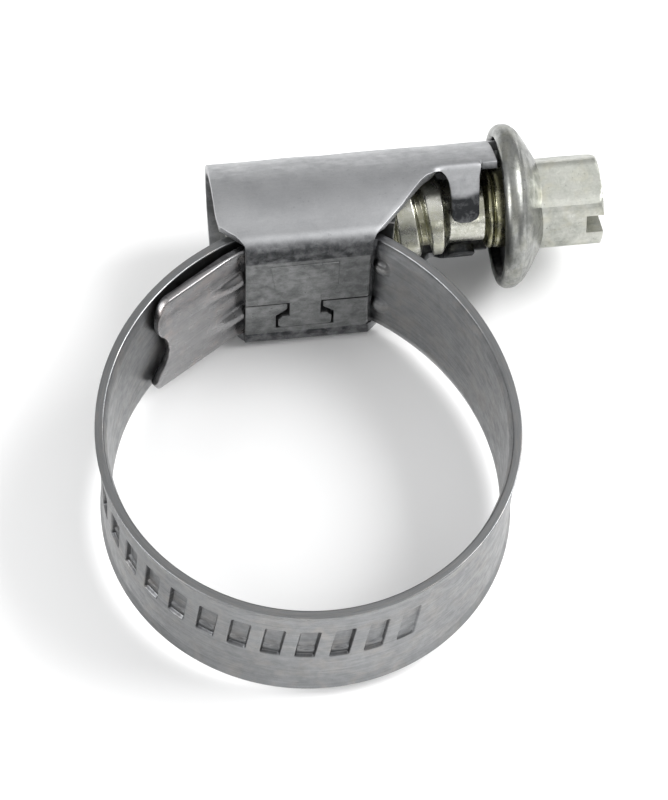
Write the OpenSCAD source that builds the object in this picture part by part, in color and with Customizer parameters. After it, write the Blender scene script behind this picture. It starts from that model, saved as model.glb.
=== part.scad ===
// Worm-drive hose clamp, 12 mm band, fully open. All lengths in millimetres.
// Frame: the ring's axis is Z, the screw runs along X with its head at +X,
// the housing sits on the ring's +Y side, and the origin is the ring's centre.

/* [Ring] */
// Inside radius of the ring's round lower half, fully open
clamp_radius = 15.2; // [14.6:0.1:15.4]
// Width of the band
band_width = 12; // [11:0.5:12]
// Thickness of the band's sheet
band_thickness = 0.7; // [0.6:0.05:0.75]
// How far the band's two edges are turned outward
edge_flare = 0.25; // [0.1:0.05:0.3]
// Clearance between neighbouring lengths of the flexing band
joint_gap = 0.06; // [0.04:0.01:0.1]

/* [Grooves] */
// Spacing of the grooves, and the lead of the screw that drives them
groove_pitch = 2.57; // [2.5:0.01:2.6]
// Depth of a full groove
groove_depth = 0.45; // [0.3:0.05:0.5]
// Length of a groove along the band
groove_length = 1.6; // [1.4:0.05:1.7]
// Length of a groove across the band
groove_width = 4.8; // [4:0.1:5.2]
// Offset of the grooves from the middle of the band
groove_offset = 0.7; // [0:0.1:0.9]
// Slant of the grooves across the band
groove_slant = 6; // [4:0.5:7.5]
// How deep the thread reaches into a groove
engagement = 0.21; // [0.1:0.01:0.3]

/* [Housing] */
// Thickness of the housing's sheet
housing_sheet = 0.7; // [0.6:0.05:0.75]
// Half of the housing's outside width
housing_half = 7.3; // [7.1:0.1:7.6]
// Height of the saddle's hose side above the ring's centre
saddle_y = 15.3; // [15.25:0.05:15.4]
// Outside radius of the rounded edges of the saddle
saddle_bend = 1.4; // [1:0.1:1.5]
// Left end of the saddle
saddle_left = -3.1; // [-3.3:0.1:-2.8]
// Right end of the saddle
saddle_right = 6.9; // [6.6:0.1:7]
// Left end of the tunnel that the band enters
tunnel_left = -5.1; // [-5.5:0.1:-4.9]
// Right end of the tunnel, under the screw's flange
tunnel_right = 18.45; // [18.2:0.05:18.5]
// Outside radius of the arch over the screw
arch_radius = 5.4; // [5.2:0.05:5.4]

/* [Screw] */
// Height of the screw's axis above the ring's centre
screw_y = 22.19; // [22.1:0.01:22.3]
// Radius over the thread
crest_radius = 3.45; // [3.3:0.05:3.5]
// Radius at the bottom of the thread
root_radius = 2.6; // [2.5:0.05:2.7]
// Width of the thread's ridge at its foot
ridge_width = 1.6; // [1.3:0.05:1.7]
// Radius of the dished flange
flange_radius = 6.65; // [6:0.05:6.8]
// Hexagon size across its flats
hex_flats = 7; // [6:0.5:7]
// Length of the hexagon
hex_length = 5.1; // [4.6:0.1:5.6]
// Width of the screwdriver slot
slot_width = 1.6; // [1.2:0.1:1.8]
// Depth of the screwdriver slot
slot_depth = 1.4; // [1.2:0.1:2]

/* [Hidden] */
$fn = 96;

t = band_thickness;
seat_y = saddle_y + housing_sheet + 0.02;
link_length = 2 * groove_pitch;
first_joint = -13.455;
// the band folds down from the saddle on a small radius, at a 3-4-5 slope
fold_radius = 0.6;
shoulder_angle = acos(0.6);
// the ring's right shoulder and left side are wider arcs, tangent to the lower half
right_gain = (seat_y - 0.2 * fold_radius) / 0.8 - clamp_radius;
left_gain = screw_y - crest_radius + engagement - t - clamp_radius;
right_r = clamp_radius + right_gain + t / 2;
lower_r = clamp_radius + t / 2;
left_r = clamp_radius + left_gain + t / 2;
lower_end = PI * lower_r;
tongue_joint = [saddle_left - 0.32, seat_y + t / 2];
tongue_slope = 33.5;
tongue_length = 8.45;
hex_start = 21.15;

steel = [0.72, 0.72, 0.73];
dark_steel = [0.55, 0.56, 0.58];
zinc = [0.78, 0.78, 0.72];

// angle on the ring, in degrees, of the point a length u along the band
function ring_angle(u) = u < 0 ? -u / right_r * 180 / PI
    : u < lower_end ? -u / lower_r * 180 / PI
    : -180 - (u - lower_end) / left_r * 180 / PI;
function ring_centre(u) = u < 0 ? -right_gain : u < lower_end ? 0 : left_gain;
function ring_radius(u) = u < 0 ? right_r : u < lower_end ? lower_r : left_r;

// the band's cross-section: x is outward from its hose side, y is across the band
module band_section(base = 0, flare = edge_flare) {
    h = band_width / 2;
    translate([base, 0]) polygon([
        [0, -h + 0.9], [0, h - 0.9], [flare, h], [t + flare, h],
        [t, h - 1], [t, -h + 1], [t + flare, -h], [flare, -h]]);
}

// drawn from the end a, so that neighbouring arcs meet on one face
module arc_piece(a, b, um) {
    from = ring_angle_on(a, um);
    translate([ring_centre(um), 0, 0]) rotate([0, 0, from])
        rotate_extrude(angle = ring_angle_on(b, um) - from) band_section(ring_radius(um) - t / 2);
}

// the same angle, but always measured on the arc that holds the point um
function ring_angle_on(u, um) = um < 0 ? -u / right_r * 180 / PI
    : um < lower_end ? -u / lower_r * 180 / PI
    : -180 - (u - lower_end) / left_r * 180 / PI;

// the band between two lengths along it
module band_piece(u0, u1) {
    if (u0 < 0) arc_piece(min(u1, 0), u0, u0);
    if (u1 > 0 && u0 < lower_end && u1 > lower_end) arc_piece(lower_end, max(u0, 0), u0);
    if (u1 > 0 && u0 < lower_end && u1 <= lower_end) arc_piece(max(u0, 0), u1, u1);
    if (u1 > lower_end) arc_piece(max(u0, lower_end), u1, u1);
}

module groove(u, depth) {
    translate([ring_centre(u), 0, 0]) rotate([0, 0, ring_angle(u)])
        translate([ring_radius(u) + t / 2 - depth, 0, 0]) rotate([-groove_slant, 0, 0])
        translate([0, -groove_length / 2, groove_offset - groove_width / 2])
        cube([2, groove_length, groove_width]);
}

// grooves start at the seventh length and reach full depth after three of them
module band_link(i) {
    u0 = first_joint + link_length * i;
    last = i == 18;
    difference() {
        band_piece(u0 + joint_gap / 2, u0 + link_length - (last ? 0.2 : joint_gap / 2));
        if (i >= 6) for (g = [0, 1])
            groove(u0 + (g + 0.5) * groove_pitch, groove_depth * min(1, (2 * (i - 6) + g + 1) / 4));
    }
}

// turns a flat outline in (Y, Z) into a bar along X
module bar(x0, x1) {
    translate([x0, 0, 0]) rotate([90, 0, 90]) linear_extrude(x1 - x0) children();
}

module band_anchor() color(steel) {
    fold_x = 0.6 * (clamp_radius + right_gain - fold_radius) - right_gain;
    difference() {
        translate([0, seat_y, 0]) bar(tongue_joint[0], fold_x)
            translate([0, -band_width / 2]) square([t, band_width]);
        translate([tongue_joint[0], tongue_joint[1], -7]) cylinder(h = 14, r = t / 2 + joint_gap);
    }
    translate([fold_x, seat_y - fold_radius, 0]) rotate([0, 0, 90])
        rotate_extrude(angle = shoulder_angle - 90) band_section(fold_radius);
    translate([-right_gain, 0, 0]) rotate([0, 0, shoulder_angle])
        rotate_extrude(angle = ring_angle(first_joint - joint_gap / 2) - shoulder_angle)
        band_section(clamp_radius + right_gain);
    // the two lugs that keep the band from sliding back through the saddle
    for (z = [-2.6, 2.9]) translate([8.05, 15.85, z]) rotate([0, 0, -38]) scale([0.95, 0.85, 1])
        sphere(r = 0.9, $fn = 32);
}

module band_tongue() color(steel) {
    translate([tongue_joint[0], tongue_joint[1], 0]) rotate([0, 0, 180 + tongue_slope]) {
        intersection() {
            bar(0, tongue_length) mirror([1, 0]) translate([-t / 2, 0]) band_section(0, 0.15);
            rotate([90, 0, 0]) translate([0, 0, -2]) linear_extrude(4) difference() {
                union() {
                    translate([0, -6]) square([tongue_length - 1.3, 12]);
                    translate([0, -4.7]) square([tongue_length, 9.4]);
                    for (s = [-1, 1]) translate([tongue_length - 1.3, 4.7 * s]) circle(r = 1.3);
                }
                translate([tongue_length + 1.3, 0.2]) circle(r = 2.6);
            }
        }
        // it bends in where it leaves the saddle
        translate([0, 0, -band_width / 2 + 0.9]) cylinder(h = band_width - 1.8, r = t / 2);
        // two ribs, proud at the saddle and fading along the tongue
        intersection() {
            translate([0, 0, -6]) cube([6, 2, 12]);
            for (z = [-2.5, 2.5]) translate([0.95, t / 2 - 0.4, z]) {
                sphere(r = 0.8, $fn = 32);
                rotate([0, 90, 0]) cylinder(h = 3.6, r1 = 0.8, r2 = 0.3, $fn = 32);
            }
        }
    }
}

// the housing's tunnel in (Y, Z), set in from the outside by e
module tunnel(e) {
    y1 = saddle_y + 2.7;
    d = screw_y - y1;
    side_r = (housing_half * housing_half + d * d - arch_radius * arch_radius)
        / (2 * (housing_half - arch_radius));
    top = atan2(d, side_r - housing_half);
    w = housing_half - e;
    translate([screw_y, 0]) circle(r = arch_radius - e);
    intersection() {
        translate([y1, housing_half - side_r]) circle(r = side_r - e);
        translate([y1, side_r - housing_half]) circle(r = side_r - e);
        translate([y1, -w]) square([(side_r - e) * sin(top), 2 * w]);
    }
    translate([saddle_y + saddle_bend, -w]) square([y1 - saddle_y - saddle_bend, 2 * w]);
    translate([saddle_y + e, saddle_bend - housing_half])
        square([saddle_bend - e, 2 * (housing_half - saddle_bend)]);
    for (s = [-1, 1]) translate([saddle_y + saddle_bend, s * (housing_half - saddle_bend)])
        circle(r = saddle_bend - e);
}

// one straight cut of the lock line, between two points in (X, Z)
module lock_cut(x0, z0, x1, z1) {
    g = 0.06;
    translate([min(x0, x1) - g, saddle_y - 0.5, min(z0, z1) - g])
        cube([abs(x1 - x0) + 2 * g, housing_sheet + 1, abs(z1 - z0) + 2 * g]);
}

module side_cut(points) {
    translate([0, 0, -9]) linear_extrude(18) polygon(points);
}

module housing() color(dark_steel) {
    difference() {
        bar(tunnel_left, tunnel_right) difference() {
            tunnel(0);
            tunnel(housing_sheet);
        }
        // the window over the thread, the tabs' room and the end notch
        side_cut([[saddle_right, 10], [saddle_right, 15.45], [saddle_right + 0.3, 15.95], [9.57, 18.44],
            [11.07, 20.27], [11.6, 21.1], [12.05, 21.58], [12.5, 21.66], [13, 21.95], [13.5, 22.2],
            [14, 22.3], [16.15, 22.3], [16.15, 22.45], [19, 22.45], [19, 10]]);
        side_cut([[-6, 10], [-6, 17.75], [-4.85, 17.75], [-3.75, 16.8], [-3.35, 16.3],
            [saddle_left, 15.9], [saddle_left, 10]]);
        // past the saddle only the outer walls go on, so the band is free to slope away
        for (x = [saddle_right, saddle_left - 5]) translate([x, 13, -6.3]) cube([5, 4.5, 12.6]);
        // the end tucks inside the flange's cup
        translate([17.8, screw_y, 0]) rotate([0, 90, 0]) difference() {
            cylinder(h = 2, r = 9);
            translate([0, 0, -1]) cylinder(h = 4, r = arch_radius + 0.01);
        }
        // the T-shaped lock between the two folded flaps of the saddle
        lock_cut(saddle_left - 1, -0.92, 0.35, -0.92);
        lock_cut(0.35, -0.92, 0.35, -2.75);
        lock_cut(-0.55, -2.75, 0.35, -2.75);
        lock_cut(-0.55, -4.4, -0.55, -2.75);
        lock_cut(-0.55, -4.4, 3.95, -4.4);
        lock_cut(3.95, -4.4, 3.95, -2.75);
        lock_cut(3.05, -2.75, 3.95, -2.75);
        lock_cut(3.05, -2.75, 3.05, -0.92);
        lock_cut(3.05, -0.92, saddle_right + 1, -0.92);
    }
    // the two tabs folded in under the screw's neck
    bar(14, 16.15) for (s = [-1, 1]) scale([1, s]) polygon([
        [22.5, 5.62], [22.1, 5.42], [21.85, 5.2], [21.25, 4.35], [20.75, 3.5], [20.38, 2.66],
        [20.1, 1.92], [19.5, 2.15], [19.8, 2.95], [20.2, 3.85], [20.7, 4.7], [21.3, 5.55],
        [21.9, 6.12], [22.5, 6.3]]);
}

// thread: a right-hand ridge, as a skin of points around and along the screw
thread_left = -3.9;
thread_right = 13.9;
thread_crest = 2.919;
thread_around = 32;
thread_along = 72;

function ridge(p) = let (w = ridge_width / 2 / groove_pitch) sqrt(max(0, 1 - p * p / (w * w)));
function fade(x) = min(1, (x - thread_left) / 0.9, (thread_right - x) / 0.6);
function thread_r(x, a) = let (
        p = (x - thread_crest) / groove_pitch - (a - 180) / 360,
        q = p - floor(p + 0.5))
    root_radius + (crest_radius - root_radius) * ridge(q) * max(0, fade(x));

module thread() {
    n = thread_around;
    m = thread_along;
    points = [for (i = [0:m]) for (j = [0:n - 1]) let (
            x = thread_left + (thread_right - thread_left) * i / m,
            a = 360 * j / n, r = thread_r(x, a))
        [x, r * cos(a), r * sin(a)]];
    skin = [for (i = [0:m - 1]) for (j = [0:n - 1]) let (
            a = i * n + j, b = i * n + (j + 1) % n, c = a + n, d = b + n)
        each [[a, c, b], [b, c, d]]];
    polyhedron(points = points, faces = concat(skin,
        [[for (j = [0:n - 1]) j], [for (j = [n - 1:-1:0]) m * n + j]]), convexity = 12);
}

module screw() color(zinc) translate([0, screw_y, 0]) {
    thread();
    rotate([0, 90, 0]) rotate_extrude() polygon([
        [0, 12.9], [2.55, 12.9], [2.55, 16.9], [3.25, 16.9], [3.25, 18.75], [5.53, 18.75], [5.55, 18.3],
        [5.7, 18], [5.95, 17.92], [6.25, 18], [6.55, 18.3], [flange_radius, 18.65],
        [flange_radius, 19.05], [6.5, 19.4], [6.25, 19.7], [5.9, 20], [4.5, 20.8], [3.95, 21.1],
        [3.5, 21.2], [0, 21.2]]);
    difference() {
        intersection() {
            translate([hex_start - 0.5, 0, 0]) rotate([99.4, 0, 0]) rotate([0, 90, 0])
                cylinder(h = hex_length + 0.5, r = hex_flats / sqrt(3), $fn = 6);
            translate([hex_start - 1, 0, 0]) rotate([0, 90, 0]) union() {
                cylinder(h = hex_length + 0.5, r = 4.4);
                translate([0, 0, hex_length + 0.5]) cylinder(h = 0.5, r1 = 4.4, r2 = 3.65);
            }
        }
        translate([hex_start + hex_length - slot_depth, 0, 0]) rotate([69.4, 0, 0])
            translate([0, -slot_width / 2, -6]) cube([slot_depth + 2, slot_width, 12]);
    }
}

module band_link_01() color(steel) band_link(0);
module band_link_02() color(steel) band_link(1);
module band_link_03() color(steel) band_link(2);
module band_link_04() color(steel) band_link(3);
module band_link_05() color(steel) band_link(4);
module band_link_06() color(steel) band_link(5);
module band_link_07() color(steel) band_link(6);
module band_link_08() color(steel) band_link(7);
module band_link_09() color(steel) band_link(8);
module band_link_10() color(steel) band_link(9);
module band_link_11() color(steel) band_link(10);
module band_link_12() color(steel) band_link(11);
module band_link_13() color(steel) band_link(12);
module band_link_14() color(steel) band_link(13);
module band_link_15() color(steel) band_link(14);
module band_link_16() color(steel) band_link(15);
module band_link_17() color(steel) band_link(16);
module band_link_18() color(steel) band_link(17);
module band_link_19() color(steel) band_link(18);

housing();
screw();
band_anchor();
band_tongue();
band_link_01();
band_link_02();
band_link_03();
band_link_04();
band_link_05();
band_link_06();
band_link_07();
band_link_08();
band_link_09();
band_link_10();
band_link_11();
band_link_12();
band_link_13();
band_link_14();
band_link_15();
band_link_16();
band_link_17();
band_link_18();
band_link_19();
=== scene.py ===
"""Looks of the worm-drive hose clamp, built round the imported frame. Lengths here are in
millimetres until a mesh is made; x, y and z are the CAD's own axes."""

import math

import bmesh
import bpy
import numpy as np
from mathutils import Matrix, Vector
from mathutils import noise as soft_noise


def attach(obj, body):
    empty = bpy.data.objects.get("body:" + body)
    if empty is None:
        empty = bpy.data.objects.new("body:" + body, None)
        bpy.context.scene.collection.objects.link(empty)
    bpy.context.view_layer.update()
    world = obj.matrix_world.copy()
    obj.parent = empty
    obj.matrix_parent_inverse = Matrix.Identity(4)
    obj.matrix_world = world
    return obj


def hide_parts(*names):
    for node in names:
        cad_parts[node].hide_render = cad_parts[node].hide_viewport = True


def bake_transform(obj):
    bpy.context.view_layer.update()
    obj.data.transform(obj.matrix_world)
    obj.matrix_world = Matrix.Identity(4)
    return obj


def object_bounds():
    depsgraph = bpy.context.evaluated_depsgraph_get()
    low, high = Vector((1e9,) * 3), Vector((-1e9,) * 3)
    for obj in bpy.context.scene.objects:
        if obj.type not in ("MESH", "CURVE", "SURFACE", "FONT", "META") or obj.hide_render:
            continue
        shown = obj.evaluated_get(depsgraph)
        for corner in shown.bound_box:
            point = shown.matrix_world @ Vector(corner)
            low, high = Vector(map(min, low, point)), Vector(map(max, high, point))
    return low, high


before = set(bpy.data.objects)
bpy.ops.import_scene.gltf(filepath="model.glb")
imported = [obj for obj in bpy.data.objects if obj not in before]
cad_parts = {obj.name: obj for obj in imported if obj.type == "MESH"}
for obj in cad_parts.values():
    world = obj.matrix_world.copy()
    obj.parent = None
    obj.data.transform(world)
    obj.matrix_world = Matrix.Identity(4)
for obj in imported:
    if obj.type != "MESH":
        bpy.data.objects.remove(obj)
cad_low, cad_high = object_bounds()

MM = 0.001
COORD = "strip"  # point attribute with the material's own coordinates, in millimetres
PAINTED_SHADE = "painted_shade"  # point attribute: how far the metal's colour is mixed toward its shade colour; painted shade in pockets, bends, hidden sides and under parts, tinted olive on the screw

# the part's own sizes, as its CAD source names them
CLAMP_R, BAND_T, BAND_W, FLARE = 15.2, 0.7, 12.0, 0.25
PITCH, FIRST_JOINT, LINKS = 2.57, -13.455, 19
SHEET, HALF, SADDLE_Y, BEND = 0.7, 7.3, 15.3, 1.4
SADDLE_L, SADDLE_R, TUNNEL_L, TUNNEL_R = -3.1, 6.9, -5.1, 18.45
ARCH_R, SCREW_Y, CREST, ROOT = 5.4, 22.19, 3.45, 2.6
SEAT_Y = SADDLE_Y + SHEET + 0.02
FOLD_R = 0.6
RIGHT_GAIN = (SEAT_Y - 0.2 * FOLD_R) / 0.8 - CLAMP_R
LEFT_GAIN = SCREW_Y - CREST + 0.21 - BAND_T - CLAMP_R
SHOULDER = math.acos(0.6)
RIGHT_R, LOWER_R, LEFT_R = (CLAMP_R + g + BAND_T / 2 for g in (RIGHT_GAIN, 0, LEFT_GAIN))
LOWER_END = math.pi * LOWER_R
U_SHOULDER = -SHOULDER * RIGHT_R
FOLD_LENGTH = (math.pi / 2 - SHOULDER) * (FOLD_R + BAND_T / 2)
U_FOLD = U_SHOULDER - FOLD_LENGTH
FOLD_X = 0.6 * (CLAMP_R + RIGHT_GAIN - FOLD_R) - RIGHT_GAIN
TONGUE_X, TONGUE_SLOPE, TONGUE_LENGTH = SADDLE_L - 0.32, 33.5, 8.45
HEX_FLATS, HEX_START, HEX_END, HEX_CORNER = 7.0, 20.7, 26.25, 129.4
SLOT_DEPTH, SLOT_WIDTH, SLOT_ANGLE = 1.4, 1.6, 159.4


# ---------------------------------------------------------------- mesh helpers
def smooth(x):
    x = np.clip(x, 0, 1)
    return x * x * (3 - 2 * x)


def make_object(name, points, faces, coords=None, sharp=35.0):
    """A mesh object from points in millimetres, smooth but for its sharp edges."""
    points = np.asarray(points, float).reshape(-1, 3)
    mesh = bpy.data.meshes.new(name)
    mesh.from_pydata((points * MM).tolist(), [], faces)
    bm = bmesh.new()
    bm.from_mesh(mesh)
    bmesh.ops.recalc_face_normals(bm, faces=bm.faces)
    bm.to_mesh(mesh)
    bm.free()
    mesh.shade_smooth()
    if sharp:
        mesh.set_sharp_from_angle(angle=math.radians(sharp))
    add_coords(mesh, points if coords is None else coords)
    obj = bpy.data.objects.new(name, mesh)
    bpy.context.scene.collection.objects.link(obj)
    return obj


def add_coords(mesh, coords):
    attribute = mesh.attributes.get(COORD) or mesh.attributes.new(
        COORD, "FLOAT_VECTOR", "POINT"
    )
    attribute.data.foreach_set("vector", np.asarray(coords, np.float32).ravel())


def add_painted_shade(mesh, amount):
    attribute = mesh.attributes.new(PAINTED_SHADE, "FLOAT", "POINT")
    values = np.broadcast_to(np.asarray(amount, np.float32), (len(mesh.vertices),))
    attribute.data.foreach_set("value", np.ascontiguousarray(values))


def own_coords(obj):
    """Material coordinates from where the points are, for a piece made by modifiers."""
    co = np.array([v.co for v in obj.data.vertices], float).reshape(-1, 3) / MM
    add_coords(obj.data, co)


def bake_modifiers(obj):
    """The object with its modifiers applied."""
    dg = bpy.context.evaluated_depsgraph_get()
    mesh = bpy.data.meshes.new_from_object(obj.evaluated_get(dg))
    obj.modifiers.clear()
    obj.data = mesh
    return obj


def tube_faces(n, m):
    """Quads of a tube: n rings of m points, each ring closed."""
    i, j = np.meshgrid(np.arange(n - 1), np.arange(m), indexing="ij")
    k = (j + 1) % m
    a, b, c, d = i * m + j, i * m + k, (i + 1) * m + k, (i + 1) * m + j
    return np.stack([a, b, c, d], -1).reshape(-1, 4)


def face_sum_normals(points, faces):
    """Area-weighted normals of the points."""
    p = points[faces]
    n = np.cross(p[:, 2] - p[:, 0], p[:, 3] - p[:, 1])
    out = np.zeros_like(points)
    for k in range(4):
        np.add.at(out, faces[:, k], n)
    return out / np.maximum(np.linalg.norm(out, axis=1, keepdims=True), 1e-12)


def shell_rings(mid, normal, half_out, half_in):
    """Closed rings round a sheet: its outer side, then its inner side backwards."""
    outer = mid + normal * half_out[..., None]
    inner = mid - normal * half_in[..., None]
    return np.concatenate([outer, inner[:, ::-1]], axis=1)


def rim_steps(radius, count=4):
    """Distances from a sheet's edge at which its rounded rim has a line of points."""
    a = np.linspace(0, math.pi / 2, count)
    return radius * (1 - np.sin(a))


def rim_loss(distance, radius):
    """How much of half the thickness is gone at a distance from a rounded edge."""
    d = np.clip(radius - distance, 0, radius)
    return radius - np.sqrt(np.maximum(radius * radius - d * d, 0))


# ---------------------------------------------------------------- materials
def metal(name, light, dark, rough, streak=0.25, mottle=0.5, specks=0.3, bump=0.25,
          tint=None, tint_share=0.0, along=(0.12, 2.2, 2.2), grain=1.0,
          shade_colour=(0.035, 0.036, 0.04)):
    """Rolled or plated steel: mottling, fine grain, rolling streaks, specks and scratches."""
    mat = bpy.data.materials.new(name)
    mat.use_nodes = True
    nodes, links = mat.node_tree.nodes, mat.node_tree.links
    nodes.clear()

    def node(kind, **values):
        n = nodes.new(kind)
        for key, value in values.items():
            if key in n.inputs.keys():
                n.inputs[key].default_value = value
            else:
                setattr(n, key, value)
        return n

    def link(a, out, b, into):
        links.new(a.outputs[out], b.inputs[into])

    def noise(scale, detail, rough_, source, distortion=0.0):
        n = node("ShaderNodeTexNoise", Scale=scale, Detail=detail, Roughness=rough_,
                 Distortion=distortion)
        link(source, 0 if source.bl_idname != "ShaderNodeAttribute" else "Vector", n, "Vector")
        return n

    def curve(source, low, high, out_low=0.0, out_high=1.0, out="Fac"):
        n = node("ShaderNodeMapRange")
        n.interpolation_type = "SMOOTHSTEP"
        for key, value in (("From Min", low), ("From Max", high), ("To Min", out_low),
                           ("To Max", out_high)):
            n.inputs[key].default_value = value
        link(source, out, n, "Value")
        return n

    def math_node(kind, a, b):
        n = node("ShaderNodeMath", operation=kind)
        for k, v in enumerate((a, b)):
            if isinstance(v, (int, float)):
                n.inputs[k].default_value = v
            else:
                links.new(v.outputs[0], n.inputs[k])
        return n

    coord = node("ShaderNodeAttribute", attribute_name=COORD)
    stretch = node("ShaderNodeMapping")
    stretch.inputs["Scale"].default_value = along
    link(coord, "Vector", stretch, "Vector")
    big = noise(0.22, 4, 0.6, coord, 0.4)
    mid = noise(1.1, 6, 0.65, coord, 0.3)
    fine = noise(9.0 * grain, 3, 0.7, coord)
    lines = noise(2.0, 5, 0.7, stretch)
    dots = noise(3.3, 2, 0.5, coord)

    cloud = math_node("ADD", curve(big, 0.3, 0.7), curve(mid, 0.3, 0.7))
    cloud = math_node("MULTIPLY", cloud, 0.5 * mottle)
    fibre = math_node("MULTIPLY", curve(lines, 0.28, 0.72), streak)
    small = math_node("MULTIPLY", curve(fine, 0.25, 0.75), 0.18)
    shade = math_node("ADD", math_node("ADD", cloud, fibre), small)
    spot = math_node("MULTIPLY", curve(dots, 0.66, 0.78), specks)
    shade = math_node("ADD", shade, spot)
    mix = node("ShaderNodeMix", data_type="RGBA")
    links.new(shade.outputs[0], mix.inputs["Factor"])
    mix.inputs["A"].default_value = (*light, 1)
    mix.inputs["B"].default_value = (*dark, 1)
    colour = mix.outputs["Result"]
    if tint:
        warm = noise(0.5, 5, 0.6, coord, 0.8)
        second = node("ShaderNodeMix", data_type="RGBA")
        share = math_node("MULTIPLY", curve(warm, 0.45, 0.7), tint_share)
        links.new(share.outputs[0], second.inputs["Factor"])
        links.new(colour, second.inputs["A"])
        second.inputs["B"].default_value = (*tint, 1)
        colour = second.outputs["Result"]

    # painted shade: the colour is mixed toward shade_colour by the point attribute, a little patchy
    painted_shade = node("ShaderNodeAttribute", attribute_name=PAINTED_SHADE)
    patchy = curve(mid, 0.3, 0.7, 0.72, 1.15)
    patchy_shade = node("ShaderNodeMath", operation="MULTIPLY", use_clamp=True)
    link(painted_shade, "Fac", patchy_shade, 0)
    links.new(patchy.outputs[0], patchy_shade.inputs[1])
    third = node("ShaderNodeMix", data_type="RGBA")
    links.new(patchy_shade.outputs[0], third.inputs["Factor"])
    links.new(colour, third.inputs["A"])
    third.inputs["B"].default_value = (*shade_colour, 1)
    colour = third.outputs["Result"]

    shader = node("ShaderNodeBsdfPrincipled")
    shader.inputs["Metallic"].default_value = 1.0
    links.new(colour, shader.inputs["Base Color"])
    worn = math_node("ADD", curve(mid, 0.3, 0.7, rough[0], rough[1]),
                     math_node("MULTIPLY", curve(lines, 0.3, 0.7), 0.06))
    links.new(worn.outputs[0], shader.inputs["Roughness"])

    height = math_node("ADD", math_node("MULTIPLY", fine, 0.35),
                       math_node("MULTIPLY", lines, 0.5))
    height = math_node("ADD", height, math_node("MULTIPLY", mid, 0.9))
    relief = node("ShaderNodeBump", Strength=bump, Distance=0.02 * MM)
    links.new(height.outputs[0], relief.inputs["Height"])
    link(relief, "Normal", shader, "Normal")
    out = node("ShaderNodeOutputMaterial")
    link(shader, "BSDF", out, "Surface")
    return mat


band_steel = metal("band_steel", (0.29, 0.295, 0.30), (0.155, 0.16, 0.165), (0.26, 0.38),
                   streak=0.4, mottle=0.5, tint=(0.36, 0.32, 0.28), tint_share=0.25,
                   along=(0.10, 2.4, 2.4))
housing_steel = metal("housing_steel", (0.53, 0.535, 0.545), (0.33, 0.335, 0.345), (0.40, 0.52),
                      streak=0.2, mottle=0.7, specks=0.5, bump=0.4, along=(0.2, 1.2, 1.2),
                      shade_colour=(0.045, 0.047, 0.05))
# the saddle's plates are the housing's own sheet; this darker copy of its colour is painted shade, for
# the dark inside of the ring that they face
saddle_steel_painted_shade = metal("saddle_steel_painted_shade", (0.36, 0.365, 0.365), (0.15, 0.155, 0.155), (0.36, 0.5),
                     streak=0.2, mottle=0.95, specks=0.6, bump=0.6, along=(0.3, 1.2, 1.2))
zinc = metal("zinc", (0.60, 0.605, 0.56), (0.30, 0.31, 0.28), (0.30, 0.46), streak=0.15,
             mottle=0.9, specks=0.9, bump=0.9, tint=(0.50, 0.47, 0.34), tint_share=0.3,
             along=(0.6, 2.0, 2.0), grain=0.6)
flange_steel = metal("flange_steel", (0.41, 0.415, 0.40), (0.17, 0.175, 0.165), (0.24, 0.40),
                     streak=0.5, mottle=0.7, specks=0.4, bump=0.7, tint=(0.42, 0.41, 0.32),
                     tint_share=0.25, along=(1.2, 0.35, 0.35), grain=0.6)
tongue_steel = metal("tongue_steel", (0.44, 0.435, 0.435), (0.24, 0.24, 0.25), (0.22, 0.34),
                     streak=0.3, mottle=0.5, tint=(0.56, 0.46, 0.42), tint_share=0.35,
                     along=(0.15, 2.0, 2.0))
# the thread and collar are the same plated steel as the head; this brighter copy is painted light,
# making up for the housing's shade on them, and its shade colour is olive
thread_zinc_painted_light = metal("thread_zinc_painted_light", (0.88, 0.88, 0.84), (0.46, 0.46, 0.38), (0.18, 0.32),
                    streak=0.3, mottle=0.7, specks=0.4, bump=0.6, tint=(0.50, 0.48, 0.30),
                    tint_share=0.4, along=(0.8, 1.5, 1.5), shade_colour=(0.26, 0.25, 0.13))


def finish_piece(obj, material):
    obj.data.materials.clear()
    obj.data.materials.append(material)
    return obj


# ---------------------------------------------------------------- the band
def strip_point(u, z, h):
    """The band's point at u along it, z across it and h outward from its hose side."""
    u, z, h = np.broadcast_arrays(*(np.asarray(v, float) for v in (u, z, h)))
    cx = np.select([u >= LOWER_END, u >= 0, u >= U_SHOULDER], [LEFT_GAIN, 0, -RIGHT_GAIN], FOLD_X)
    cy = np.where(u >= U_SHOULDER, 0, SEAT_Y - FOLD_R)
    inner = np.select([u >= LOWER_END, u >= 0, u >= U_SHOULDER],
                      [CLAMP_R + LEFT_GAIN, CLAMP_R, CLAMP_R + RIGHT_GAIN], FOLD_R)
    angle = np.select(
        [u >= LOWER_END, u >= 0, u >= U_SHOULDER],
        [-math.pi - (u - LOWER_END) / LEFT_R, -u / LOWER_R, -u / RIGHT_R],
        SHOULDER + (U_SHOULDER - u) / (FOLD_R + BAND_T / 2))
    flat = u < U_FOLD
    r = inner + h
    x = np.where(flat, FOLD_X - (U_FOLD - u), cx + r * np.cos(angle))
    y = np.where(flat, SEAT_Y + h, cy + r * np.sin(angle))
    return np.stack([x, y, z], -1)


def edge_flare(z):
    """How far the band's section is turned outward near its two edges."""
    return FLARE * np.clip((np.abs(z) - 4.95) / (BAND_W / 2 - 4.95), 0, 1) ** 1.25


SLANT = math.tan(math.radians(6))
GROOVE_Z, GROOVE_HALF_Z, GROOVE_HALF_U, GROOVE_DEPTH = 1.15, 2.1, 0.75, 0.45
FIRST_GROOVE = 12  # the first of the band's half links that has a groove
BAND_RIM = 0.11  # how round the band's two edges are
LUG_U, LUG_Z, LUG_IN, LUG_OUT = -18.09, (-2.6, 2.9), 0.45, 0.5


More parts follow.
